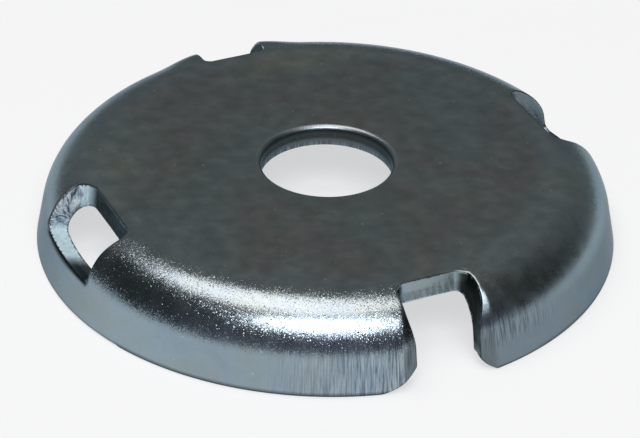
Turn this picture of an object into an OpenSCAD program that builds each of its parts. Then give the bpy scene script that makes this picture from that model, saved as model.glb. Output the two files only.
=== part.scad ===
// Strut mount washer: one pressed steel cup with a round hole in its flat top,
// two slots open through the rim and two closed windows, all cut at the bend.
// Millimetres. The rim stands on z = 0, the hole's axis is Z, the slots lie on Y and the windows on X.

/* [Sheet] */
// Thickness of the steel sheet
sheet = 3.0; // [2.4:0.1:3.6]

/* [Cup] */
// Outside diameter at the rim
rim_d = 80; // [72:1:96]
// Height from the rim to the flat top
height = 11.4; // [10.4:0.1:14]
// Inside radius of the bend between the top and the wall
bend_in = 5; // [4:0.1:6]
// Lean of the wall outward from upright, degrees
lean = 10.7; // [8:0.1:14]

/* [Hole] */
// Diameter of the hole
bore_d = 18; // [12:0.5:24]
// Radius of the rolled edge round the top of the hole
bore_roll = 0.8; // [0.4:0.1:1.2]

/* [Slots and windows] */
// From the end of the flat top out to the straight inner edge of each cut
cut_step = 0.4; // [0.2:0.1:1]
// Slope of the inner cut face, degrees, lower edge outward
cut_slope = 4; // [2:1:8]
// Width of the open slots
slot_w = 9.2; // [7:0.1:12]
// Corner radius at the inner end of the slots
slot_corner = 1.2; // [0.6:0.1:2]
// Run along the rim of the long rounded corner at a slot's mouth
long_run = 7.0; // [4:0.1:8]
// Rise of that corner up the slot's side
long_rise = 3.0; // [2:0.1:3.6]
// Run along the rim of the short rounded corner at a slot's mouth
short_run = 3.4; // [2:0.1:4]
// Rise of that corner up the slot's side
short_rise = 2.0; // [1.2:0.1:2.6]
// How far the wall is pressed in along the slot's edges
edge_press = 1.2; // [0.8:0.1:1.5]
// Angle at which the pressed edge runs out into the wall, degrees
press_angle = 17.5; // [14:0.5:22]
// Width of the closed windows
window_w = 14.8; // [11:0.1:18]
// Corner radius at the inner end of the windows
window_corner = 2.4; // [1.4:0.1:3]
// Place of the window's lower edge round the bend, degrees above level
sill_at = 17; // [14:1:24]
// Tilt of the window's lower face, degrees, falling inward
sill_tilt = 16; // [12:1:24]
// Corner radius at the lower end of the windows
sill_corner = 1.4; // [0.8:0.1:2]
// How much lower the window on +X reaches than the one on -X
right_drop = 2.1; // [1.6:0.1:2.4]

/* [Hidden] */
$fn = 96;
// outside of the bend, and the height of its centre
bend_out = bend_in + sheet;
bend_z = height - bend_out;
// upright height of the straight wall
wall_h = bend_z + bend_out * sin(lean);
// where the flat top ends and where the cuts begin, from the axis
flat_r = rim_d / 2 - wall_h * tan(lean) - bend_out * cos(lean);
cut_in = flat_r + cut_step;
bore_r = bore_d / 2;
// how far the cutting shapes run past the sheet
reach = rim_d / 4;
// how far the mouth's arc dips under the rim
mouth_dip = 0.1;
// how far the press begins over the flat top, and its faces run on inside the slot
press_lift = 0.3;
press_in = 0.3;
// how far a flat face stands inside the round one that it runs on from, so that the two cross
ease = 0.002;
// turn of the cup's seam, clear of every cut
seam = 45;

// Section of the sheet, drawn about the centre of the bend
module section() {
    web = flat_r - bore_r - bore_roll;
    // flat top
    translate([-web, bend_in]) square([web, sheet]);
    // rolled edge of the hole
    translate([-web, bend_out - bore_roll]) {
        intersection() {
            circle(bore_roll);
            translate([-bore_roll, 0]) square(bore_roll);
        }
        translate([-bore_roll, bore_roll - sheet]) square([bore_roll, sheet - bore_roll]);
    }
    // bend and wall, from the end of the flat round and down to the rim plane
    intersection() {
        difference() {
            bend_and_wall(bend_out);
            bend_and_wall(bend_in);
        }
        translate([0, -bend_z]) square(reach);
    }
}

// All that lies inside one face of the bend and of the leaning wall below it
module bend_and_wall(r) {
    circle(r);
    rotate(lean) translate([-reach, -reach]) square([reach + r - ease, reach]);
}

module cup() {
    rotate(seam) rotate_extrude() translate([flat_r, bend_z]) section();
}

// Outline that opens to +X from a straight end of width w at x = 0, with corners of radius r
module bay(w, r) {
    difference() {
        translate([0, -w / 2]) square([reach, w]);
        for (m = [0, 1]) mirror([0, m]) difference() {
            translate([-r, w / 2 - r]) square(2 * r);
            translate([r, w / 2 - r]) circle(r);
        }
    }
}

// Cut that starts at the straight inner edge and runs outward through the wall
module inner_cut(w, r) {
    translate([cut_in, 0, height]) rotate([0, -cut_slope, 0])
        translate([0, 0, -reach]) linear_extrude(reach + sheet) bay(w, r);
}

// Everything above the lower face of a window, which lies lower by the drop
module above_sill(drop) {
    translate([flat_r + bend_out * cos(sill_at), 0, bend_z + bend_out * sin(sill_at) - drop])
        rotate([0, 90 - sill_tilt, 0]) rotate([0, 0, 180])
            translate([0, 0, -reach / 2]) linear_extrude(reach) bay(window_w, sill_corner);
}

module window_cut(drop) {
    intersection() {
        inner_cut(window_w, window_corner);
        above_sill(drop);
    }
}

// Corner where one side of a slot opens through the rim, an arc from the rim up to the slot's side
module mouth_corner(run, rise) {
    arc_r = (run * run + rise * rise) / (2 * rise);
    difference() {
        translate([0, -sheet]) square([slot_w / 2 + run, sheet + rise]);
        translate([slot_w / 2 + run, arc_r - mouth_dip]) circle(arc_r);
    }
}

module mouth_cut() {
    translate([flat_r, 0, 0]) rotate([90, 0, 90]) linear_extrude(reach) {
        mirror([1, 0]) mouth_corner(long_run, long_rise);
        mouth_corner(short_run, short_rise);
    }
}

// Section of the press along both edges of a slot, drawn from the press's own bend centre
module press_shape() {
    fall = tan(press_angle);
    near = slot_w / 2 - press_in;
    far = near + reach;
    low = bend_out - press_in * fall;
    high = low + reach * fall;
    polygon([[low, -near], [low, near], [high, far], [high, -far]]);
}

// Wall and bend pressed in along the edges of a slot, growing from nothing at the flat top
module press_cut() {
    translate([flat_r - edge_press, 0, bend_z + press_lift]) {
        rotate([-90, 0, 0]) rotate(-90) rotate_extrude(angle = 90 - lean) press_shape();
        rotate([0, -lean, 0]) translate([-ease, 0, -reach]) linear_extrude(reach + sheet / 4) press_shape();
    }
}

module slot_cut() {
    inner_cut(slot_w, slot_corner);
    mouth_cut();
    press_cut();
}

module strut_washer() {
    color([0.55, 0.60, 0.62]) difference() {
        cup();
        for (a = [90, 270]) rotate(a) slot_cut();
        window_cut(right_drop);
        rotate(180) window_cut(0);
    }
}

strut_washer();
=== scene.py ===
import math
from collections import namedtuple

import bmesh
import bpy
import numpy as np
from mathutils import Matrix, Vector


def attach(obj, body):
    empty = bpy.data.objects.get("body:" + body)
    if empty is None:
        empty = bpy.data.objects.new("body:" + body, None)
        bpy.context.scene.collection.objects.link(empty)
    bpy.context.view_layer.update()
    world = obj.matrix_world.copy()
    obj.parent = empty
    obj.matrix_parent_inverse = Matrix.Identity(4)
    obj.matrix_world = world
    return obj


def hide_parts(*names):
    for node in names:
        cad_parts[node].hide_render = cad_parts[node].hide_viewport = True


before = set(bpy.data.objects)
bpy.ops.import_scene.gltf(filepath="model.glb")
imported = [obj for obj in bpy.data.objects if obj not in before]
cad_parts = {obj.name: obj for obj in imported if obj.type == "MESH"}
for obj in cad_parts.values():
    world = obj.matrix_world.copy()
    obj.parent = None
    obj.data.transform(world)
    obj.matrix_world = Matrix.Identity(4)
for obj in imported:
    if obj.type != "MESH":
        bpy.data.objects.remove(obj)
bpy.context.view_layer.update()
bpy.context.scene.view_settings.view_transform = "Standard"

# Camera
# A long lens looks down on the washer from the left of its front slot.
# It aims at the middle of the rim plane, and a small shift gives the photograph's crop.
view_azimuth = math.radians(-25.1)
view_elevation = math.radians(32.534)
view_roll = math.radians(1.104)
view_distance = 0.4295
image_width_px = 640
crop_left_px = 5.41
crop_up_px = 10.99

across_view = Vector((math.sin(view_azimuth), -math.cos(view_azimuth), 0))
towards_camera = across_view * math.cos(view_elevation) + Vector((0, 0, math.sin(view_elevation)))
camera_data = bpy.data.cameras.new("camera")
camera_data.sensor_fit = "HORIZONTAL"
camera_data.sensor_width = 36
camera_data.lens = 173.8
camera_data.shift_x = -crop_left_px / image_width_px
camera_data.shift_y = crop_up_px / image_width_px
camera_data.clip_start = 0.01
camera = bpy.data.objects.new("camera", camera_data)
aim = (-towards_camera).to_track_quat("-Z", "Y").to_matrix().to_4x4()
place = Matrix.Translation(towards_camera * view_distance)
camera.matrix_world = place @ aim @ Matrix.Rotation(view_roll, 4, "Z")
bpy.context.scene.collection.objects.link(camera)
bpy.context.scene.camera = camera


# Floor
# A plain white paper sweep under the washer, matt, large enough to fill every view.
# Part of its white is its own, to the eye and to the metal alike; the rest takes light and shadow.
def link(tree, source, target):
    """Joins one output socket to one input socket."""
    tree.links.new(source, target)


def add(tree, kind, **settings):
    """Makes one node. A setting whose name is a property is set on the node, any other on its input of
    that name."""
    made = tree.nodes.new(kind)
    for name, value in settings.items():
        if name in made.bl_rna.properties:
            setattr(made, name, value)
        else:
            made.inputs[name.replace("_", " ")].default_value = value
    return made


floor_half = 4.0
floor_drop = 0.00002
floor_white = 0.6
floor_albedo = (0.85, 0.95, 0.99, 1)
floor_signs = ((-1, -1), (1, -1), (1, 1), (-1, 1))
floor_mesh = bpy.data.meshes.new("floor")
floor_corners = [(x * floor_half, y * floor_half, -floor_drop) for x, y in floor_signs]
floor_mesh.from_pydata(floor_corners, [], [(0, 1, 2, 3)])
floor = bpy.data.objects.new("floor", floor_mesh)
bpy.context.scene.collection.objects.link(floor)

paper = bpy.data.materials.new("white_paper")
paper.use_nodes = True
tree = paper.node_tree
tree.nodes.clear()
matt = add(tree, "ShaderNodeBsdfDiffuse", Color=floor_albedo)
own_white = add(tree, "ShaderNodeEmission", Color=(1, 1, 1, 1), Strength=1.0)
ray = add(tree, "ShaderNodeLightPath")
mirrored = add(tree, "ShaderNodeMath", operation="MAXIMUM")
link(tree, ray.outputs["Is Glossy Ray"], mirrored.inputs[0])
link(tree, ray.outputs["Is Transmission Ray"], mirrored.inputs[1])
seen = add(tree, "ShaderNodeMath", operation="MAXIMUM")
link(tree, ray.outputs["Is Camera Ray"], seen.inputs[0])
link(tree, mirrored.outputs[0], seen.inputs[1])
share = add(tree, "ShaderNodeMath", operation="MULTIPLY")
share.inputs[1].default_value = floor_white
link(tree, seen.outputs[0], share.inputs[0])
blend = add(tree, "ShaderNodeMixShader")
link(tree, share.outputs[0], blend.inputs[0])
link(tree, matt.outputs[0], blend.inputs[1])
link(tree, own_white.outputs[0], blend.inputs[2])
paper_out = add(tree, "ShaderNodeOutputMaterial")
link(tree, blend.outputs[0], paper_out.inputs["Surface"])
floor_mesh.materials.append(paper)


# Light
# A dim grey room, a long oval lamp overhead and a little to the left, and one high on the camera's side.
# The room is darkest to the sides, bluish behind the camera, and lighter behind the washer and overhead.
def ramp(tree, source, stops):
    """Colour ramp on a value, from (place, colour) stops in rising order."""
    made = add(tree, "ShaderNodeValToRGB")
    for at, _ in stops[1:-1]:
        made.color_ramp.elements.new(at)
    for element, (at, colour) in zip(made.color_ramp.elements, stops):
        element.position = at
        element.color = (*colour, 1)
    link(tree, source, made.inputs[0])
    return made.outputs[0]


room_by_height = ((0.0, (0.29, 0.28, 0.26)), (0.16, (0.21, 0.205, 0.19)), (0.50, (0.190, 0.184, 0.170)),
                  (0.75, (0.23, 0.22, 0.20)), (1.0, (0.46, 0.44, 0.40)))
room_by_side = ((0.1, (1.0, 1.0, 1.0)), (0.38, (0.25, 0.25, 0.25)), (0.65, (0.25, 0.25, 0.25)),
                (0.9, (0.58, 0.57, 0.76)))
world = bpy.data.worlds.new("room")
bpy.context.scene.world = world
world.use_nodes = True
tree = world.node_tree
tree.nodes.clear()
direction = add(tree, "ShaderNodeTexCoord")
upward = add(tree, "ShaderNodeSeparateXYZ")
link(tree, direction.outputs["Generated"], upward.inputs[0])
along_view = add(tree, "ShaderNodeVectorMath", operation="DOT_PRODUCT")
along_view.inputs[1].default_value = across_view
link(tree, direction.outputs["Generated"], along_view.inputs[0])
front_share = add(tree, "ShaderNodeMapRange", From_Min=-1.0)
link(tree, along_view.outputs["Value"], front_share.inputs["Value"])
room = add(tree, "ShaderNodeMix", data_type="RGBA", blend_type="MULTIPLY")
room.inputs["Factor"].default_value = 1.0
link(tree, ramp(tree, upward.outputs["Z"], room_by_height), room.inputs["A"])
link(tree, ramp(tree, front_share.outputs[0], room_by_side), room.inputs["B"])
background = add(tree, "ShaderNodeBackground")
link(tree, room.outputs["Result"], background.inputs["Color"])
world_out = add(tree, "ShaderNodeOutputWorld")
link(tree, background.outputs[0], world_out.inputs["Surface"])


def soft_lamp(name, azimuth, elevation, distance, width, depth, radiance, colour):
    """Oval lamp facing the origin. azimuth is from the camera's side, + to the right, both angles in degrees;
    its power is radiance times pi times its area, which is a quarter of pi times width and depth."""
    turn = view_azimuth + math.radians(azimuth)
    rise = math.radians(elevation)
    out = Vector((math.sin(turn) * math.cos(rise), -math.cos(turn) * math.cos(rise), math.sin(rise)))
    data = bpy.data.lights.new(name, "AREA")
    data.shape = "ELLIPSE"
    data.size = width
    data.size_y = depth
    data.energy = radiance * math.pi * (math.pi / 4 * width * depth)
    data.color = colour
    lamp = bpy.data.objects.new(name, data)
    lamp.matrix_world = Matrix.Translation(out * distance) @ out.to_track_quat("Z", "Y").to_matrix().to_4x4()
    bpy.context.scene.collection.objects.link(lamp)


soft_lamp("overhead_lamp", azimuth=-117, elevation=81, distance=1.5, width=0.95, depth=1.5,
          radiance=3.0, colour=(1.0, 0.84, 0.76))
soft_lamp("front_lamp", azimuth=2, elevation=54, distance=1.5, width=1.25, depth=0.72,
          radiance=5.8, colour=(1.0, 0.94, 0.95))

# Pressed cup
# One disc of 3 mm steel sheet, blanked, pierced and drawn into a shallow cup with a leaning wall.
# The sheet's outer face runs level from the hole, round the bend and down the wall to the rim.
mm = 0.001
sheet = 3.0
rim_r = 40.0
height = 11.4
bend_in = 5.0
lean = math.radians(10.7)
bend_out = bend_in + sheet
bend_z = height - bend_out
flat_r = rim_r - (bend_z + bend_out * math.sin(lean)) * math.tan(lean) - bend_out * math.cos(lean)
bend_end = bend_out * (math.pi / 2 - lean)
rim_at = bend_end + (bend_z + bend_out * math.sin(lean)) / math.cos(lean)


def sheet_point(s, depth):
    """Radius and height of a point of the sheet. s is the way along the outer face from the end of the flat
    top: level below 0, then an arc of radius bend_out, then straight down the wall. depth is the way in,
    square to that face. The wall's length is scaled so that every depth ends on the rim plane."""
    turn = np.clip(s / bend_out, 0, math.pi / 2 - lean)
    arm = bend_out - depth
    drop = np.clip((s - bend_end) / (rim_at - bend_end), 0, 1) * (bend_z + arm * math.sin(lean))
    r = flat_r + np.minimum(s, 0) + arm * np.sin(turn) + drop * math.tan(lean)
    z = bend_z + arm * np.cos(turn) - drop
    return r, z


def cup_point(azimuth, s, depth):
    """Point of the sheet at an azimuth about the hole's axis, in millimetres."""
    r, z = sheet_point(s, depth)
    return np.stack(np.broadcast_arrays(r * np.cos(azimuth), r * np.sin(azimuth), z), -1)


def rounding(way, radius):
    """How far a rounded edge lies under its face at a way from the edge: a quarter circle of that radius."""
    inside = np.clip(1 - way / radius, 0, 1)
    return radius * (1 - np.sqrt(1 - inside ** 2))


def smooth(t):
    """Smooth step, 3 t squared less 2 t cubed, of t held between 0 and 1."""
    t = np.clip(t, 0, 1)
    return t ** 2 * (3 - 2 * t)


# Windows and slots
# Two closed windows and two slots open through the rim, punched at the bend from outside.
# The punch dragged the sheet in along each edge and left a smooth shear band over a torn one.
# A cut has a place in quarter turns, its sides' flare, its sill's drop, a swell beside it and its paleness.
Cut = namedtuple("Cut", "kind place flares drop swell pale")
right_window = Cut("window", 0, (0.0, 0.3), 2.1, 0.0, 0.2)
back_slot = Cut("slot", 1, (0.3, 0.0), 0.0, 0.58, 0.0)
left_window = Cut("window", 2, (0.9, -0.45), 0.0, 0.0, 1.0)
front_slot = Cut("slot", 3, (0.5, 1.15), 0.0, 0.0, 0.0)
quarter_turn = math.pi / 2
cut_step = 0.4
cut_in = flat_r + cut_step
cut_slope = math.radians(4)
slot_w = 9.2
slot_corner = 1.2
long_run, long_rise = 7.0, 3.0
short_run, short_rise = 3.4, 2.0
mouth_dip = 0.1
window_w = 14.8
window_corner = 2.4
sill_turn = math.radians(17)
sill_tilt = math.radians(16)
sill_corner = 1.4
sill_x = flat_r + bend_out * math.cos(sill_turn)
sill_z = bend_z + bend_out * math.sin(sill_turn)
columns = 64
patch_half = math.radians(22.5)
patch_top = -2.6


def past_inner_edge(x, z):
    """Way outward from the sloping plane of a cut's straight inner edge."""
    return (x - cut_in) * math.cos(cut_slope) + (z - height) * math.sin(cut_slope)


def under_sill(x, z):
    """Way down from a window's tilted lower plane."""
    return (x - sill_x) * math.sin(sill_tilt) - (z - sill_z) * math.cos(sill_tilt)


def under_rim(x, z):
    """Way down from the rim plane."""
    return -z


halvings = 44


def reach_on_sheet(level, across, goal, depth):
    """The way s along the sheet, at an offset across the cut, where a level that grows with s comes to its
    goal, found by halving."""
    across, goal = np.broadcast_arrays(np.asarray(across, float), np.asarray(goal, float))
    low = np.full(across.shape, patch_top)
    high = np.full(across.shape, rim_at)
    for _ in range(halvings):
        middle = (low + high) / 2
        r, z = sheet_point(middle, depth)
        short = level(np.sqrt(r ** 2 - across ** 2), z) < goal
        low = np.where(short, middle, low)
        high = np.where(short, high, middle)
    return (low + high) / 2


quarter = np.linspace(0, math.pi / 2, 41)
straight = np.linspace(0, 1, 61)


def inner_end(width, corner, side, depth):
    """Half of a cut's inner end, from its middle to its side: a straight edge, then an arc. Gives the offset
    across the cut and s."""
    edge = straight * (width / 2 - corner)
    across = np.concatenate([edge, width / 2 - corner + corner * np.sin(quarter)])
    past = np.concatenate([0 * edge, corner - corner * np.cos(quarter)])
    return side * across, reach_on_sheet(past_inner_edge, across, past, depth)


def window_sill(drop, side, depth):
    """Half of a window's lower end, from its side to its middle: an arc, then a straight edge, both lower by
    the drop."""
    edge = (1 - straight) * (window_w / 2 - sill_corner)
    across = np.concatenate([window_w / 2 - sill_corner + sill_corner * np.cos(quarter), edge])
    above = np.concatenate([sill_corner - sill_corner * np.sin(quarter), 0 * edge])
    return side * across, reach_on_sheet(under_sill, across, drop * math.cos(sill_tilt) - above, depth)


def slot_mouth(side, depth):
    """One side of a slot's mouth, from the slot's side out to the rim: an arc that flattens into the rim."""
    run, rise = (long_run, long_rise) if side < 0 else (short_run, short_rise)
    arc = (run ** 2 + rise ** 2) / (2 * rise)
    far = run - math.sqrt(arc ** 2 - (arc - mouth_dip) ** 2)
    out = straight * far
    up = np.maximum(arc - mouth_dip - np.sqrt(arc ** 2 - (run - out) ** 2), 0)
    across = slot_w / 2 + out
    return side * across, reach_on_sheet(under_rim, across, -up, depth)


flare_rise = 4.0
flare_end, flare_fall = 10.5, 5.5
flare_power = 6


def flare(cut, across, s):
    """How far the side of a cut leans out from the inner face to the outer one: it rises along a parabola
    round the upper bend and falls smoothly to nothing at the wall."""
    rise = np.clip(s / flare_rise, 0, 1)
    return np.where(across < 0, *cut.flares) * rise * (2 - rise) * smooth((flare_end - s) / flare_fall)


def half_outline(cut, side, depth):
    """One side of a cut's outline, from the middle of its inner end to the middle of its sill or to the rim,
    with a straight run between the two ends. On the outer face the side is flared, by a power of the way
    from the middle to the side, so that the ends hardly move."""
    width, corner = (window_w, window_corner) if cut.kind == "window" else (slot_w, slot_corner)
    upper = inner_end(width, corner, side, depth)
    lower = window_sill(cut.drop, side, depth) if cut.kind == "window" else slot_mouth(side, depth)
    run = upper[1][-1] + straight[1:-1] * (lower[1][0] - upper[1][-1])
    across = np.concatenate([upper[0], 0 * run + side * width / 2, lower[0]])
    s = np.concatenate([upper[1], run, lower[1]])
    if depth == 0:
        share_out = np.clip(2 * np.abs(across) / width, 0, 1) ** flare_power
        across = across + side * flare(cut, across, s) * share_out
    return across, s


def spread(values, weights, stops, counts):
    """Takes points from a dense line. stops are dense indices; between two stops, the given count of points
    lies evenly along the weights, which grow along the line."""
    spans = zip(stops, stops[1:], counts)
    pieces = [np.linspace(weights[a], weights[b], n, endpoint=False) for a, b, n in spans]
    at = np.concatenate(pieces + [weights[stops[-1:]]])
    return [np.interp(at, weights, v) for v in values]


def outline(cut):
    """Azimuth and s of a cut's outline on the outer face and on the inner face, point by point. A window's
    runs round from its lower left corner and closes; a slot's runs from the rim up its left side, across
    and down."""
    faces = [[half_outline(cut, side, depth) for side in (-1, 1)] for depth in (0, sheet)]
    lines = []
    for (left, right) in faces:
        lines.append(np.concatenate([left[0][::-1], right[0][1:]]))
        lines.append(np.concatenate([left[1][::-1], right[1][1:]]))
    half = len(faces[0][0][0]) - 1
    outer = np.stack([lines[0], lines[1]])
    length = np.concatenate([[0], np.cumsum(np.hypot(*np.diff(outer)))])
    corner = len(straight) + len(quarter) // 2
    lower_corner = len(straight) + len(quarter) + len(straight) - 2 + len(quarter) // 2
    if cut.kind == "window":
        stops = np.array([half - lower_corner, half - corner, half + corner, half + lower_corner])
        upper = spread(lines, length, stops, [rows, columns, rows])
        over = [np.concatenate([v[half + lower_corner:], v[1:half - lower_corner + 1]]) for v in lines]
        over_length = np.concatenate([[0], np.cumsum(np.hypot(*np.diff(np.stack(over[:2]))))])
        below = spread(over, over_length, np.array([0, len(over_length) - 1]), [columns])
        lines = [np.concatenate([u, b[1:]]) for u, b in zip(upper, below)]
    else:
        stops = np.array([0, half - corner, half + corner, 2 * half])
        lines = spread(lines, length, stops, [rows, columns, rows])
    found = []
    for across, s, depth in ((lines[0], lines[1], 0), (lines[2], lines[3], sheet)):
        r, _ = sheet_point(s, depth)
        found.append((np.arcsin(across / r), s))
    return found


def patch_border(kind):
    """Azimuth and s of the border of a cut's patch of sheet, point for point with the cut's outline."""
    s_row = rows_on_sheet
    turn = np.linspace(-patch_half, patch_half, columns + 1)
    left = (np.full(rows, -patch_half), s_row[:0:-1])
    top = (turn[:-1], np.full(columns, s_row[0]))
    right = (np.full(rows, patch_half), s_row[:-1])
    last = (turn[-1:], s_row[-1:])
    sides = [left, top, right, last]
    if kind == "window":
        sides = [left, top, right, (turn[:0:-1], np.full(columns, s_row[-1])), (turn[:1], s_row[-1:])]
    return np.concatenate([a for a, _ in sides]), np.concatenate([b for _, b in sides])


rim_round = 0.30
inner_round = 0.15
lip_round = 0.14
level_rows = np.linspace(patch_top, 0, 6, endpoint=False)
bend_rows = np.linspace(0, bend_end, 25, endpoint=False)
edge_rows = rim_at - rim_round * np.linspace(1, 0, 6) ** 1.5
wall_rows = np.linspace(bend_end, edge_rows[0], 11, endpoint=False)
rows_on_sheet = np.concatenate([level_rows, bend_rows, wall_rows, edge_rows])
rows = len(rows_on_sheet) - 1
lip_rings = [0, 0.006, 0.013, 0.022, 0.034, 0.05, 0.07, 0.095, 0.125]
rings = np.concatenate([lip_rings, np.linspace(0.16, 1, 18)])

press_from = 4.2
press_width_top, press_width_growth = 0.30, 1.80
press_depth_top, press_depth_growth = 0.05, 0.80
press_power = 1.1
roll_from, roll_over = 0.8 * bend_end, 2
roll_depth_top, roll_depth_growth = 0.04, 0.26
roll_width_top, roll_width_growth = 0.25, 0.65
swell_width = 7.0
swell_from, swell_rise = 1.3, 3.0
swell_end, swell_fall = 11.0, 4.0


def way_from_cut(cut, azimuth, s):
    """Way along the outer face from a cut's side, inner edge or sill, as the long side of a right triangle
    whose short sides are the ways past them; zero inside the cut."""
    r, z = sheet_point(s, 0)
    x, across = r * np.cos(azimuth), r * np.sin(azimuth)
    width = slot_w if cut.kind == "slot" else window_w
    past_side = np.maximum(np.abs(across) - width / 2 - flare(cut, across, s), 0)
    past_end = np.maximum(-past_inner_edge(x, z), 0)
    if cut.kind == "window":
        past_end = np.maximum(past_end, under_sill(x, z) - cut.drop * math.cos(sill_tilt))
    return np.hypot(past_side, past_end)


def press_growth(s):
    """Growth of the press along a slot's edges, from 0 on the upper bend to 1 at the wall."""
    return np.clip((s - press_from) / (bend_end - press_from), 0, 1)


def press_width(s):
    """Width of the pressed strip along a slot's edges, which widens evenly with the press's growth."""
    return press_width_top + press_width_growth * press_growth(s)


def drag_depth(kind, way, s):
    """How far the outer face is dragged in beside a cut: deepest at the edge, falling to nothing over a
    width. Beside a slot it is a nearly flat press that grows down the lower bend; round a window it is a
    narrow roll that falls with the square of the way."""
    if kind == "slot":
        deepest = press_depth_top + press_depth_growth * press_growth(s)
        return deepest * np.clip(1 - way / press_width(s), 0, 1) ** press_power
    grow = np.clip((s - roll_from) / roll_over, 0, 1)
    deepest = roll_depth_top + roll_depth_growth * grow
    width = roll_width_top + roll_width_growth * grow
    return deepest * np.clip(1 - way / width, 0, 1) ** 2


def swell(cut, azimuth, s):
    """How far the sheet stands out beside a slot: half a cosine wave from the slot's side, which rises
    smoothly round the upper bend and falls to nothing at the wall."""
    r, _ = sheet_point(s, 0)
    way = np.clip((np.abs(r * np.sin(azimuth)) - slot_w / 2) / swell_width, 0, 1)
    along = smooth((s - swell_from) / swell_rise) * smooth((swell_end - s) / swell_fall)
    return cut.swell * (1 + np.cos(math.pi * way)) / 2 * along


grids = []


def keep_grid(points, u, v, part, grain=0.0, drag=0.0, burr_and_shade=0.0):
    """Stores one grid of points with its map coordinates, finish (0 skin, 1 cut edge) and masks."""
    shape = points.shape[:2]
    grids.append((points, part, [np.broadcast_to(value, shape) for value in (u, v, grain, drag, burr_and_shade)]))


def turn_from_slot(azimuth):
    """Degrees from the nearer slot, from -90 at one window to 90 at the other."""
    return np.degrees((azimuth + math.pi) % math.pi) - 90


grain_lead, grain_rise = 0.8, 2.4
grain_end, grain_fall = bend_end + 0.6, 3.0
grain_by_turn = ((-90, -75, -4, 4, 75, 90), (0.65, 1.0, 1.0, 0.35, 0.35, 0.65))


def grain_mask(azimuth, s):
    """Strength of the stretched grain of the steel: round the bend, none on the flat top and low wall, and
    full only on the two quarters that lie on the side of the slots' long mouth corners."""
    fall = np.clip((grain_end - s) / grain_fall, 0, 1)
    by_quarter = np.interp(turn_from_slot(azimuth), *grain_by_turn)
    return smooth((s + grain_lead) / grain_rise) * fall * by_quarter


drag_strongest = 1.25
drag_reach_long, drag_reach_short = 30, 24
drag_from, drag_rise = 0.66 * bend_end, 2.5
drag_end, drag_fall = bend_end + 3.0, 2.2


def drag_mask(azimuth, s):
    """Strength of the drawing marks down the wall: strong beside each slot. On the side of the long mouth
    corner they reach further and run to the rim, on the other they fade out on the upper wall."""
    turn = turn_from_slot(azimuth)
    reach = np.where(turn < 0, drag_reach_long, drag_reach_short)
    near = np.clip(drag_strongest - np.abs(turn) / reach, 0, 1)
    low = np.clip((s - drag_from) / drag_rise, 0, 1)
    fade = np.where(turn < 0, 1.0, np.clip((drag_end - s) / drag_fall, 0, 1))
    return near * low * fade


# Painted shade: the wall is darkened on the two quarters on the side of the slots' short mouth corners.
painted_shade_strength = 0.42
painted_shade_lead = 3
painted_shade_by_turn = ((-90, -70, -4, 4, 70, 90), (0.5, 0, 0, 1, 1, 0.5))


def painted_shade_mask(azimuth, s):
    """Painted shade on the wall: how much darker the two quarters on the side of the slots' short mouth
    corners are made.
    """
    by_quarter = np.interp(turn_from_slot(azimuth), *painted_shade_by_turn)
    return painted_shade_strength * by_quarter * smooth((s - bend_end + painted_shade_lead) / painted_shade_lead)


tear_from, tear_waver = 0.45, 0.05
tear_rise, tear_fall = 0.1, 0.06
tear_depth, tear_ragged = 0.07, 0.035


def torn(points, through):
    """Recess of a cut edge's torn lower band, millimetres, ragged by a sum of sines of the place."""
    x, y, z = np.moveaxis(points, -1, 0)
    coarse = np.sin(3.1 * x + 1.3 * z) * np.sin(2.7 * y - 0.9 * z)
    ragged = coarse + 0.6 * np.sin(6.7 * x - 5.1 * y + 2.3 * z)
    start = tear_from + tear_waver * np.sin(1.9 * x + 2.3 * y)
    band = np.clip((through - start) / tear_rise, 0, 1) * np.clip((1 - through) / tear_fall, 0, 1)
    return band * (tear_depth + tear_ragged * ragged)


across_edge = np.linspace(0, 1, 13)


def cut_edge(outer, inner, frost=0.0, ridges=0.0, painted_shade=0.0):
    """Edge of the sheet between matching lines on its two faces, with the torn band set back into the sheet.
    frost, stored as grain, is how pale its fracture is; ridges, stored as drag, how crumpled; the last,
    stored with the burrs, is painted shade: how much darker the edge is made where it lies in shade."""
    through = across_edge[:, None]
    points = outer[None] + (inner - outer)[None] * through[..., None]
    along_line = np.gradient(points, axis=1)
    facing = np.cross(along_line, (inner - outer)[None])
    facing = facing / np.linalg.norm(facing, axis=-1, keepdims=True)
    points = points + facing * torn(points, through)[..., None]
    way = np.concatenate([[0], np.cumsum(np.linalg.norm(np.diff(outer, axis=0), axis=1))])
    keep_grid(points, way[None] * mm, through, 1, frost, ridges, painted_shade)


# Dark line at the rim's foot: partly burr, partly painted contact shade.
rim_burr_and_shade_width, rim_burr_and_shade_full = 0.60, 1.6
pressed_dull = 0.6
pressed_clean = 0.4


def skin(azimuth, s, depth, burr_and_shade=0.0, pressed=0.0):
    """One face of the sheet, from grids of azimuth, s and depth. A dark line runs along the rim, partly burr
    and partly painted contact shade; two quarters of the wall are darkened with painted shade; and a pressed
    strip is duller and less scored."""
    points = cup_point(azimuth, s, depth)
    # The painted shade of two wall quarters joins the pressed strip's dullness here.
    pressed_dull_and_shade = np.maximum(pressed_dull * pressed, painted_shade_mask(azimuth, s))
    rim_burr_and_shade = np.clip(rim_burr_and_shade_full - rim_burr_and_shade_full * (rim_at - s) / rim_burr_and_shade_width, 0, 1)
    burr_and_shade = np.maximum(np.maximum(burr_and_shade, pressed_dull_and_shade), rim_burr_and_shade)
    drag = drag_mask(azimuth, s) * (1 - pressed_clean * pressed)
    keep_grid(points, azimuth * rim_r * mm, s * mm, 0, grain_mask(azimuth, s), drag, burr_and_shade)
    return points


def rim_depths(s):
    """Depths of the outer and inner faces at s, with their edges rounded at the rim."""
    return rounding(rim_at - s, rim_round), sheet - rounding(rim_at - s, inner_round)


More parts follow.
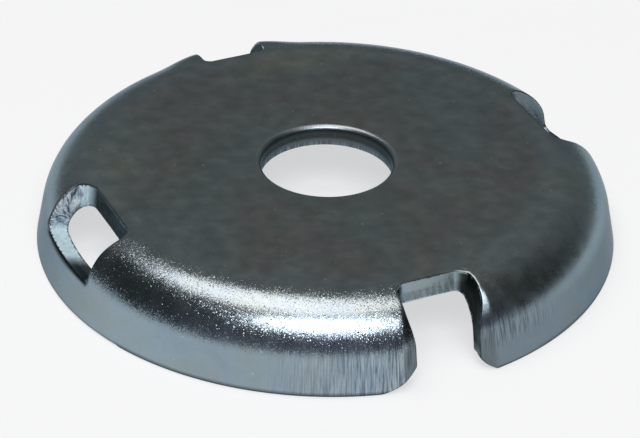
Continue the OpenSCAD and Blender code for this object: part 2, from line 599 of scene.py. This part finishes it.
def plain_sector(centre):
    """Eighth of the cup between two cuts, both faces and its stretch of rim."""
    turn = centre + np.linspace(-patch_half, patch_half, columns + 1)
    s = rows_on_sheet[:, None] + 0 * turn
    outer_depth, inner_depth = rim_depths(s)
    outer = skin(turn + 0 * s, s, outer_depth)
    inner = skin(turn + 0 * s, s, inner_depth)
    cut_edge(outer[-1], inner[-1])


burr_and_shade_width, burr_and_shade_full = 0.40, 1.3
sill_shade_width = 0.6
low_from, low_over = 8, 2
top_end, top_over = 0.9, 0.5
window_burr_top, window_shade_low = 0.7, 0.3
slot_burr_top = 0.8
pressed_fade = 0.2
pressed_gain = 3
window_frost = (1, 1, 1, 0.85, 0, 0, 0, 0.1, 1, 1)
window_ridges = (0.4, 1, 1, 0.2, 0, 0, 0, 0, 0.1, 0.1)
# Painted shade on the windows' inner ends and near sides, and on the slots' sides.
window_painted_shade = (0, 0, 0, 0, 0.9, 0.9, 0.8, 0.8, 0, 0)
slot_painted_shade = (0.2, 1, 1, 0, 0, 1, 1, 0.2)


def cut_sector(cut):
    """Eighth of the cup with a cut in it: rings of points from the outline out to the border of the patch.
    The marks are numbers of points along the outline, at which the finish and the painted shade of the cut
    edge are given."""
    border = patch_border(cut.kind)
    centre = cut.place * quarter_turn
    faces = []
    for (turn, s), depth in zip(outline(cut), (0, sheet)):
        ring = rings[:, None]
        all_turn = turn + ring * (border[0] - turn)
        all_s = s + ring * (border[1] - s)
        flat_points = cup_point(all_turn, all_s, depth)
        way = np.linalg.norm(flat_points - flat_points[0], axis=-1)
        outer_depth, inner_depth = rim_depths(all_s)
        pressed = np.zeros(all_s.shape)
        if depth == 0:
            way_out = way_from_cut(cut, all_turn, all_s)
            full = np.maximum(outer_depth, drag_depth(cut.kind, way_out, all_s) + rounding(way, lip_round))
            if cut.kind == "slot":
                strip = np.clip((press_width(all_s) - way_out) / pressed_fade, 0, 1)
                pressed = strip * np.clip(pressed_gain * press_growth(all_s), 0, 1)
        else:
            full = np.minimum(inner_depth, sheet - rounding(way, lip_round))
        # Dark lines along the outline on both faces: partly burr, and widened round a window's lower part
        # into painted shade of the rolled edge.
        low = smooth((all_s - low_from) / low_over)
        top = np.clip((top_end - all_s) / top_over, 0, 1)
        if cut.kind == "window":
            line_width = burr_and_shade_width + sill_shade_width * low
            strength = window_burr_top + window_shade_low * low
        else:
            line_width = burr_and_shade_width
            strength = low + slot_burr_top * top
        burr_and_shade = np.clip(burr_and_shade_full - burr_and_shade_full * way / line_width, 0, 1) * strength
        faces.append(skin(centre + all_turn, all_s, full - swell(cut, all_turn, all_s), burr_and_shade, pressed))
    outer, inner = faces
    side, both = rows + columns, 2 * rows + columns
    if cut.kind == "window":
        below = slice(both, None)
        cut_edge(outer[-1, below][::-1], inner[-1, below][::-1])
        marks = (0, 0.15 * rows, 0.75 * rows, rows, rows + 10, side - 10, both, both + 0.3 * columns,
                 both + 0.5 * columns, both + columns)
        number = np.arange(outer.shape[1])
        frost = cut.pale * np.interp(number, marks, window_frost)
        ridges = np.interp(number, marks, window_ridges)
        painted_shade = np.interp(number, marks, window_painted_shade)
        cut_edge(outer[0], inner[0], frost, ridges, painted_shade * (0.5 + 0.5 * cut.pale))
    else:
        line = [np.concatenate([face[::-1, 0], face[0, 1:-1], face[:, -1]]) for face in (outer, inner)]
        marks = (0.15 * rows, 0.3 * rows, rows - 1, rows + 5, side - 5, side + 1, side + 0.7 * rows,
                 side + 0.85 * rows)
        shaded = np.interp(np.arange(1, outer.shape[1] - 1), marks, slot_painted_shade)
        ends = np.zeros(len(rings))
        cut_edge(*line, 0.0, 0.0, np.concatenate([ends, shaded, ends]))


for cut in (right_window, back_slot, left_window, front_slot):
    cut_sector(cut)
    plain_sector((cut.place + 0.5) * quarter_turn)

# Hole
# Pierced from above through the flat top; the punch rolled the upper edge over and left a slightly wider torn
# band lower down. The wall under the roll is darkened with painted shade, most just under the roll.
bore_r = 9.0
bore_roll = 0.8
tear_out = 0.10
round_turn = np.linspace(0, 2 * math.pi, 8 * columns + 1) - patch_half
flat_s = np.linspace(bore_r + bore_roll - flat_r, patch_top, 12)[:, None]
skin(round_turn + 0 * flat_s, flat_s + 0 * round_turn, 0 * flat_s)
under_s = np.linspace(bore_r + tear_out - flat_r, patch_top, 12)[:, None]
skin(round_turn + 0 * under_s, under_s + 0 * round_turn, sheet + 0 * under_s)
roll_turn = np.linspace(0, math.pi / 2, 10)
tear_at = 0.62 * sheet
torn_r = [bore_r + 0.4 * tear_out, bore_r + 0.8 * tear_out, bore_r + tear_out, bore_r + tear_out]
torn_depth = [tear_at + 0.05, tear_at + 0.15, tear_at + 0.3, sheet]
hole_r = np.concatenate([bore_r + bore_roll * (1 - np.sin(roll_turn)), [bore_r, bore_r], torn_r])
hole_depth = np.concatenate([bore_roll * (1 - np.cos(roll_turn)), [0.45 * sheet, tear_at], torn_depth])
hole_x = hole_r[:, None] * np.cos(round_turn)
hole_y = hole_r[:, None] * np.sin(round_turn)
hole_z = (height - hole_depth)[:, None]
hole_points = np.stack(np.broadcast_arrays(hole_x, hole_y, hole_z), -1)
# Painted shade: how much darker the hole's wall is made at each depth.
hole_marks = (0.10 * sheet, 0.20 * sheet, tear_at, tear_at + 0.2, sheet)
hole_painted_shade = np.interp(hole_depth, hole_marks, (0, 1.0, 0.8, 0.6, 0.6))[:, None]
keep_grid(hole_points, round_turn * bore_r * mm, (hole_depth / sheet)[:, None], 1, 0.0, 0.0, hole_painted_shade)


merge_within = 0.002
sharp_angle = math.radians(38)


def cup_mesh():
    """Joins the stored grids into one closed mesh: corners in order, four to a face, then equal points
    merged."""
    points, values, parts, faces = [], [], [], []
    start = 0
    for grid, part, grid_values in grids:
        high, wide = grid.shape[:2]
        number = start + np.arange(high * wide).reshape(high, wide)
        corners = (number[:-1, :-1], number[:-1, 1:], number[1:, 1:], number[1:, :-1])
        quads = np.stack(corners, -1).reshape(-1, 4)
        points.append(grid.reshape(-1, 3) * mm)
        values.append(np.stack(grid_values, -1).reshape(-1, 5))
        parts.append(np.full(len(quads), part))
        faces.append(quads)
        start += high * wide
    points, values = np.concatenate(points), np.concatenate(values).astype(np.float32)
    faces, parts = np.concatenate(faces), np.concatenate(parts)
    mesh = bpy.data.meshes.new("pressed_cup")
    mesh.from_pydata(points, [], faces)
    mesh.polygons.foreach_set("material_index", parts.astype(np.int32))
    chart = mesh.uv_layers.new(name="along_sheet")
    chart.data.foreach_set("uv", values[faces.ravel(), :2].ravel())
    for column, name in enumerate(("grain", "drag", "burr_and_shade"), 2):
        mask = mesh.attributes.new(name, "FLOAT", "POINT")
        mask.data.foreach_set("value", values[:, column].copy())
    work = bmesh.new()
    work.from_mesh(mesh)
    bmesh.ops.remove_doubles(work, verts=work.verts, dist=merge_within * mm)
    bmesh.ops.recalc_face_normals(work, faces=work.faces)
    work.to_mesh(mesh)
    work.free()
    mesh.shade_smooth()
    mesh.set_sharp_from_angle(angle=sharp_angle)
    return mesh


cup = bpy.data.objects.new("pressed_cup", cup_mesh())
bpy.context.scene.collection.objects.link(cup)

# Zinc plate
# Bright zinc with a clear bluish passivate over the whole pressing: satin, faintly mottled and stained,
# grainy where the steel stretched round the bend, scored down the wall beside the slots, rougher where torn.
zinc_plain = (0.330, 0.430, 0.500, 1)
zinc_blue = (0.265, 0.350, 0.395)
zinc_grey = (0.260, 0.325, 0.345)
zinc_brown = (0.274, 0.312, 0.332)
zinc_green = (0.275, 0.345, 0.365)
zinc_olive = (0.340, 0.405, 0.385)
film_bands = ((0.32, zinc_blue), (0.43, zinc_grey), (0.50, zinc_brown),
              (0.56, zinc_green), (0.66, zinc_olive))
cloud_tones = ((0.3, (0.88, 0.88, 0.88)), (0.7, (1.0, 1.0, 1.0)))
stain_tones = ((0.36, (0.90, 0.93, 0.99)), (0.50, (1.0, 1.0, 1.0)), (0.64, (0.99, 0.96, 0.88)))
speck_tint = (0.50, 0.62, 0.68, 1)
edge_tint = (0.52, 0.58, 0.62, 1)


def zinc_tint():
    """Node group: the plate's plain blue-grey under a film in bands of blue, grey, brown, green and olive, in
    clouds about 35 mm across, as strong as the input; both with bluish and yellowish stains about 9 mm
    across, faint where the film is full, a few pale specks, and a little lighter and darker in clouds of
    2 mm, which are also put out as a mask."""
    group = bpy.data.node_groups.new("zinc_tint", "ShaderNodeTree")
    group.interface.new_socket("Film", in_out="INPUT", socket_type="NodeSocketFloat")
    group.interface.new_socket("Colour", in_out="OUTPUT", socket_type="NodeSocketColor")
    group.interface.new_socket("Cloud", in_out="OUTPUT", socket_type="NodeSocketFloat")
    given = add(group, "NodeGroupInput")
    place_on = add(group, "ShaderNodeTexCoord")
    wide = add(group, "ShaderNodeTexNoise", Scale=28.0, Detail=2.0, Roughness=0.45, Distortion=0.5)
    fine = add(group, "ShaderNodeTexNoise", Scale=420.0, Detail=4.0, Roughness=0.6)
    stain = add(group, "ShaderNodeTexNoise", Scale=110.0, Detail=3.0, Roughness=0.55, Distortion=0.8)
    speck = add(group, "ShaderNodeTexNoise", Scale=1400.0, Detail=0.0)
    out = add(group, "NodeGroupOutput")
    for noise in (wide, fine, stain, speck):
        link(group, place_on.outputs["Object"], noise.inputs["Vector"])
    bands = ramp(group, wide.outputs["Fac"], film_bands)
    film = add(group, "ShaderNodeMix", data_type="RGBA")
    film.inputs["A"].default_value = zinc_plain
    link(group, given.outputs["Film"], film.inputs["Factor"])
    link(group, bands, film.inputs["B"])
    shade = ramp(group, fine.outputs["Fac"], cloud_tones)
    tone = add(group, "ShaderNodeMix", data_type="RGBA", blend_type="MULTIPLY")
    tone.inputs["Factor"].default_value = 1.0
    link(group, film.outputs["Result"], tone.inputs["A"])
    link(group, shade, tone.inputs["B"])
    stains = ramp(group, stain.outputs["Fac"], stain_tones)
    stain_share = add(group, "ShaderNodeMapRange", To_Min=1.0, To_Max=0.2)
    link(group, given.outputs["Film"], stain_share.inputs["Value"])
    stained = add(group, "ShaderNodeMix", data_type="RGBA", blend_type="MULTIPLY")
    link(group, stain_share.outputs[0], stained.inputs["Factor"])
    link(group, tone.outputs["Result"], stained.inputs["A"])
    link(group, stains, stained.inputs["B"])
    speck_here = add(group, "ShaderNodeMapRange", From_Min=0.83, From_Max=0.87, To_Max=0.7)
    link(group, speck.outputs["Fac"], speck_here.inputs["Value"])
    specked = add(group, "ShaderNodeMix", data_type="RGBA")
    specked.inputs["B"].default_value = speck_tint
    link(group, speck_here.outputs[0], specked.inputs["Factor"])
    link(group, stained.outputs["Result"], specked.inputs["A"])
    link(group, specked.outputs["Result"], out.inputs["Colour"])
    link(group, fine.outputs["Fac"], out.inputs["Cloud"])
    return group


tint_group = zinc_tint()
film_from, film_to = -3 * mm, 2 * mm
small_tilt_power = 3.0
grain_polish = -0.12
bared_tint = (0.50, 0.57, 0.62, 1)
scored_tint = (0.36, 0.31, 0.37, 1)
# Darkens burrs and dull pressed strips, and also the painted shade at the rim's foot, on two wall quarters
# and along the cuts.
burr_and_shade_tint = (0.18, 0.18, 0.18, 1)


def zinc_skin():
    """Material of the two faces of the sheet. The film is full on the flat top and faint below the bend."""
    material = bpy.data.materials.new("zinc_skin")
    material.use_nodes = True
    tree = material.node_tree
    tree.nodes.clear()
    tint = add(tree, "ShaderNodeGroup", node_tree=tint_group)
    place_on = add(tree, "ShaderNodeTexCoord")
    along_sheet = add(tree, "ShaderNodeSeparateXYZ")
    link(tree, place_on.outputs["UV"], along_sheet.inputs[0])
    film = add(tree, "ShaderNodeMapRange", From_Min=film_from, From_Max=film_to, To_Min=1.0, To_Max=0.25)
    link(tree, along_sheet.outputs["Y"], film.inputs["Value"])
    link(tree, film.outputs[0], tint.inputs["Film"])
    grain = add(tree, "ShaderNodeAttribute", attribute_name="grain")
    drag = add(tree, "ShaderNodeAttribute", attribute_name="drag")
    burr_and_shade = add(tree, "ShaderNodeAttribute", attribute_name="burr_and_shade")

    # crystals of the stretched steel, each tilted its own way
    face = add(tree, "ShaderNodeNewGeometry")
    crystal = add(tree, "ShaderNodeTexVoronoi", Scale=10500.0)
    link(tree, place_on.outputs["Object"], crystal.inputs["Vector"])
    centred = add(tree, "ShaderNodeVectorMath", operation="SUBTRACT")
    centred.inputs[1].default_value = (0.5, 0.5, 0.5)
    link(tree, crystal.outputs["Color"], centred.inputs[0])
    centred_length = add(tree, "ShaderNodeVectorMath", operation="LENGTH")
    link(tree, centred.outputs[0], centred_length.inputs[0])
    mostly_small = add(tree, "ShaderNodeMath", operation="POWER")
    mostly_small.inputs[1].default_value = small_tilt_power
    link(tree, centred_length.outputs["Value"], mostly_small.inputs[0])
    tilt_size = add(tree, "ShaderNodeMath", operation="MULTIPLY")
    link(tree, grain.outputs["Fac"], tilt_size.inputs[0])
    link(tree, mostly_small.outputs[0], tilt_size.inputs[1])
    tilt = add(tree, "ShaderNodeVectorMath", operation="SCALE")
    link(tree, centred.outputs[0], tilt.inputs[0])
    link(tree, tilt_size.outputs[0], tilt.inputs["Scale"])
    tilted = add(tree, "ShaderNodeVectorMath", operation="ADD")
    link(tree, face.outputs["Normal"], tilted.inputs[0])
    link(tree, tilt.outputs[0], tilted.inputs[1])
    sparkle = add(tree, "ShaderNodeVectorMath", operation="NORMALIZE")
    link(tree, tilted.outputs[0], sparkle.inputs[0])

    # marks drawn down the wall
    stretch = add(tree, "ShaderNodeMapping", Scale=(5000.0, 230.0, 1.0))
    link(tree, place_on.outputs["UV"], stretch.inputs["Vector"])
    score = add(tree, "ShaderNodeTexNoise", Scale=1.0, Detail=3.0, Roughness=0.65)
    link(tree, stretch.outputs[0], score.inputs["Vector"])
    score_height = add(tree, "ShaderNodeMath", operation="MULTIPLY")
    link(tree, score.outputs["Fac"], score_height.inputs[0])
    link(tree, drag.outputs["Fac"], score_height.inputs[1])
    score_bump = add(tree, "ShaderNodeBump", Strength=1.0, Distance=0.00012)
    link(tree, score_height.outputs[0], score_bump.inputs["Height"])
    link(tree, sparkle.outputs[0], score_bump.inputs["Normal"])

    # satin that is rougher in clouds and smoother on the crystals
    cloud_rough = add(tree, "ShaderNodeMapRange", From_Min=0.3, From_Max=0.7, To_Min=0.28, To_Max=0.38)
    link(tree, tint.outputs["Cloud"], cloud_rough.inputs["Value"])
    rough = add(tree, "ShaderNodeMath", operation="MULTIPLY_ADD")
    rough.inputs[1].default_value = grain_polish
    link(tree, grain.outputs["Fac"], rough.inputs[0])
    link(tree, cloud_rough.outputs[0], rough.inputs[2])

    # dark and bared lines of the drawing marks, then the burrs, the dull pressed strips and the painted shade
    dark_line = add(tree, "ShaderNodeMapRange", From_Min=0.51, From_Max=0.60)
    link(tree, score.outputs["Fac"], dark_line.inputs["Value"])
    dark_here = add(tree, "ShaderNodeMath", operation="MULTIPLY")
    link(tree, dark_line.outputs[0], dark_here.inputs[0])
    link(tree, drag.outputs["Fac"], dark_here.inputs[1])
    light_line = add(tree, "ShaderNodeMapRange", From_Min=0.48, From_Max=0.36)
    link(tree, score.outputs["Fac"], light_line.inputs["Value"])
    light_here = add(tree, "ShaderNodeMath", operation="MULTIPLY")
    link(tree, light_line.outputs[0], light_here.inputs[0])
    link(tree, drag.outputs["Fac"], light_here.inputs[1])
    bared = add(tree, "ShaderNodeMix", data_type="RGBA")
    bared.inputs["B"].default_value = bared_tint
    link(tree, light_here.outputs[0], bared.inputs["Factor"])
    link(tree, tint.outputs["Colour"], bared.inputs["A"])
    scored = add(tree, "ShaderNodeMix", data_type="RGBA", blend_type="MULTIPLY")
    scored.inputs["B"].default_value = scored_tint
    link(tree, dark_here.outputs[0], scored.inputs["Factor"])
    link(tree, bared.outputs["Result"], scored.inputs["A"])
    burred_and_shaded = add(tree, "ShaderNodeMix", data_type="RGBA", blend_type="MULTIPLY")
    burred_and_shaded.inputs["B"].default_value = burr_and_shade_tint
    link(tree, burr_and_shade.outputs["Fac"], burred_and_shaded.inputs["Factor"])
    link(tree, scored.outputs["Result"], burred_and_shaded.inputs["A"])

    metal = add(tree, "ShaderNodeBsdfPrincipled", Metallic=1.0, Specular_Tint=edge_tint)
    link(tree, burred_and_shaded.outputs["Result"], metal.inputs["Base Color"])
    link(tree, rough.outputs[0], metal.inputs["Roughness"])
    link(tree, score_bump.outputs[0], metal.inputs["Normal"])
    out = add(tree, "ShaderNodeOutputMaterial")
    link(tree, metal.outputs[0], out.inputs["Surface"])
    return material


# Colours of the crumpled fracture by ridge height: painted shade in the hollows and painted glints on the
# ridges.
ridge_shade_and_glint_tones = ((0.39, (0.05, 0.07, 0.11)), (0.48, (0.34, 0.50, 0.64)), (0.58, (0.86, 0.97, 1.0)))
frost_tint = (0.64, 0.90, 1.0, 1)
# Colour of the painted shade on the cut edges.
painted_shade_tint = (0.12, 0.12, 0.105, 1)
frost_metallic = -0.75
frost_roughness = 0.03


def zinc_cut():
    """Material of the cut edges: fine shear lines on the upper band, a torn grainy lower band, and in the
    windows a pale crumpled fracture that shines less like metal, coloured with painted shade in its hollows
    and painted glints on its ridges. Painted shade darkens the cut edges that lie in shade: the slots' sides,
    the windows' inner ends and near sides, and the hole's wall."""
    material = bpy.data.materials.new("zinc_cut")
    material.use_nodes = True
    tree = material.node_tree
    tree.nodes.clear()
    tint = add(tree, "ShaderNodeGroup", node_tree=tint_group, Film=0.4)
    place_on = add(tree, "ShaderNodeTexCoord")
    chart = add(tree, "ShaderNodeSeparateXYZ")
    link(tree, place_on.outputs["UV"], chart.inputs[0])
    tear = add(tree, "ShaderNodeMapRange", From_Min=0.42, From_Max=0.58)
    link(tree, chart.outputs["Y"], tear.inputs["Value"])

    stretch = add(tree, "ShaderNodeMapping", Scale=(4200.0, 1.6, 1.0))
    link(tree, place_on.outputs["UV"], stretch.inputs["Vector"])
    shear = add(tree, "ShaderNodeTexNoise", Scale=1.0, Detail=2.0, Roughness=0.6)
    link(tree, stretch.outputs[0], shear.inputs["Vector"])
    shear_bump = add(tree, "ShaderNodeBump", Strength=0.6, Distance=0.00004)
    link(tree, shear.outputs["Fac"], shear_bump.inputs["Height"])

    # coarse ridges and pale frost of the fracture in the windows, with painted shade in the hollows and
    # painted glints on the ridges
    frost = add(tree, "ShaderNodeAttribute", attribute_name="grain")
    ridges = add(tree, "ShaderNodeAttribute", attribute_name="drag")
    ridge_stretch = add(tree, "ShaderNodeMapping", Scale=(1500.0, 2.4, 1.0))
    link(tree, place_on.outputs["UV"], ridge_stretch.inputs["Vector"])
    ridge = add(tree, "ShaderNodeTexNoise", Scale=1.0, Detail=4.0, Roughness=0.65, Distortion=0.6)
    link(tree, ridge_stretch.outputs[0], ridge.inputs["Vector"])
    ridge_height = add(tree, "ShaderNodeMath", operation="MULTIPLY")
    link(tree, ridge.outputs["Fac"], ridge_height.inputs[0])
    link(tree, ridges.outputs["Fac"], ridge_height.inputs[1])
    ridge_bump = add(tree, "ShaderNodeBump", Strength=1.0, Distance=0.0008)
    link(tree, ridge_height.outputs[0], ridge_bump.inputs["Height"])
    link(tree, shear_bump.outputs[0], ridge_bump.inputs["Normal"])
    crumpled = add(tree, "ShaderNodeMix", data_type="RGBA")
    crumpled.inputs["A"].default_value = frost_tint
    link(tree, ridges.outputs["Fac"], crumpled.inputs["Factor"])
    link(tree, ramp(tree, ridge.outputs["Fac"], ridge_shade_and_glint_tones), crumpled.inputs["B"])
    frosted = add(tree, "ShaderNodeMix", data_type="RGBA")
    link(tree, frost.outputs["Fac"], frosted.inputs["Factor"])
    link(tree, tint.outputs["Colour"], frosted.inputs["A"])
    link(tree, crumpled.outputs["Result"], frosted.inputs["B"])
    bare_metal = add(tree, "ShaderNodeMath", operation="MULTIPLY_ADD")
    bare_metal.inputs[1].default_value = frost_metallic
    bare_metal.inputs[2].default_value = 1.0
    link(tree, frost.outputs["Fac"], bare_metal.inputs[0])

    # painted shade on the cut faces that lie in shade, and the grain of the torn band
    painted_shade = add(tree, "ShaderNodeAttribute", attribute_name="burr_and_shade")
    shaded = add(tree, "ShaderNodeMix", data_type="RGBA", blend_type="MULTIPLY")
    shaded.inputs["B"].default_value = painted_shade_tint
    link(tree, painted_shade.outputs["Fac"], shaded.inputs["Factor"])
    link(tree, frosted.outputs["Result"], shaded.inputs["A"])
    crystal = add(tree, "ShaderNodeTexNoise", Scale=2600.0, Detail=3.0, Roughness=0.7)
    link(tree, place_on.outputs["Object"], crystal.inputs["Vector"])
    torn_height = add(tree, "ShaderNodeMath", operation="MULTIPLY")
    link(tree, crystal.outputs["Fac"], torn_height.inputs[0])
    link(tree, tear.outputs[0], torn_height.inputs[1])
    torn_bump = add(tree, "ShaderNodeBump", Strength=1.0, Distance=0.00012)
    link(tree, torn_height.outputs[0], torn_bump.inputs["Height"])
    link(tree, ridge_bump.outputs[0], torn_bump.inputs["Normal"])
    rough = add(tree, "ShaderNodeMapRange", To_Min=0.34, To_Max=0.50)
    link(tree, tear.outputs[0], rough.inputs["Value"])
    matt = add(tree, "ShaderNodeMath", operation="MULTIPLY_ADD", use_clamp=True)
    matt.inputs[1].default_value = frost_roughness
    link(tree, frost.outputs["Fac"], matt.inputs[0])
    link(tree, rough.outputs[0], matt.inputs[2])

    metal = add(tree, "ShaderNodeBsdfPrincipled", Specular_Tint=edge_tint)
    link(tree, shaded.outputs["Result"], metal.inputs["Base Color"])
    link(tree, bare_metal.outputs[0], metal.inputs["Metallic"])
    link(tree, matt.outputs[0], metal.inputs["Roughness"])
    link(tree, torn_bump.outputs[0], metal.inputs["Normal"])
    out = add(tree, "ShaderNodeOutputMaterial")
    link(tree, metal.outputs[0], out.inputs["Surface"])
    return material


cup.data.materials.append(zinc_skin())
cup.data.materials.append(zinc_cut())
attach(cup, "root")
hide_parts("strut_washer")
